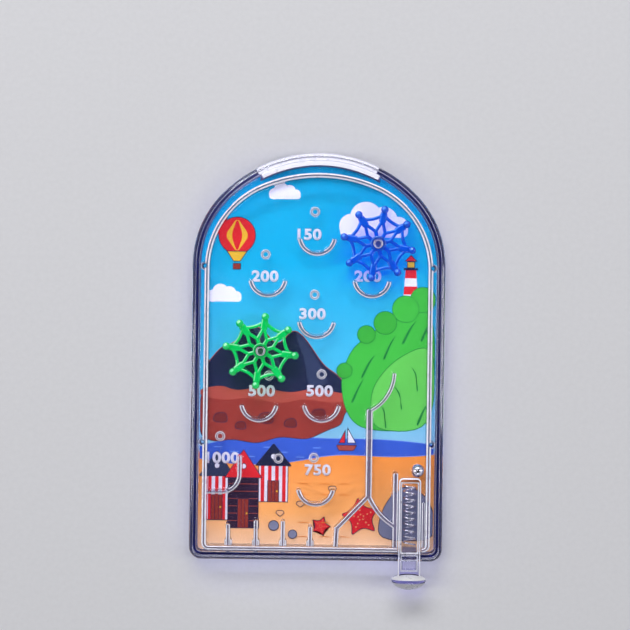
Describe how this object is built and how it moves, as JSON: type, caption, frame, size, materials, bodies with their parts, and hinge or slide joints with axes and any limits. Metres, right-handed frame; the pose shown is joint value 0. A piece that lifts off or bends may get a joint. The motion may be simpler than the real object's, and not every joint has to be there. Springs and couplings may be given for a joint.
{
  "type": "hand-held pinball game",
  "caption": "Flat arch-topped clear plastic pinball toy with a sprung plunger, a steel ball, scoring cups and loose star spinners over a printed card.",
  "frame": {"origin": "centre of the back face of the case, between the straight sides and halfway from its foot to its crown", "axes": "+X to the plunger's side, +Y up the playfield to the arched end, +Z out through the lens"},
  "size_m": [0.0804, 0.1389, 0.0124],
  "materials": {
    "clear_case": "clear moulded polystyrene with a faint violet tint, polished",
    "clear_playfield": "clear moulded polystyrene, polished",
    "clear_plunger": "clear moulded polystyrene, polished",
    "printed_card": "coated card printed with a seaside picture and plain score numbers",
    "spring_steel": "bright drawn wire",
    "ball_steel": "polished bearing ball",
    "blue_plastic": "translucent moulded plastic",
    "green_plastic": "translucent moulded plastic"
  },
  "bodies": {
    "housing": {"back_tray": "clear_case", "picture_card": "printed_card", "playfield_plate": "clear_playfield", "front_cover": "clear_case", "plunger_spring": "spring_steel"},
    "launcher": {"plunger": "clear_plunger"},
    "ball": {"steel_ball": "ball_steel"},
    "upper_star": {"blue_spinner": "blue_plastic"},
    "lower_star": {"green_spinner": "green_plastic"}
  },
  "joints": [
    {"name": "plunger_pull", "type": "slide", "parent": "housing", "child": "launcher", "axis": [0, -1, 0], "range_m": [0, 0.011], "stiffness_N_per_m": 100, "springref_m": -0.004, "deforming": ["plunger_spring"]},
    {"name": "ball_run", "type": "slide", "parent": "housing", "child": "ball", "axis": [0, 1, 0], "range_m": [0, 0.06]},
    {"name": "blue_spin", "type": "hinge", "parent": "housing", "child": "upper_star", "pos_m": [0.01876, 0.03626, 0.008], "axis": [0, 0, 1], "continuous": true},
    {"name": "green_spin", "type": "hinge", "parent": "housing", "child": "lower_star", "pos_m": [-0.0183, 0.00156, 0.008], "axis": [0, 0, 1], "continuous": true}
  ]
}
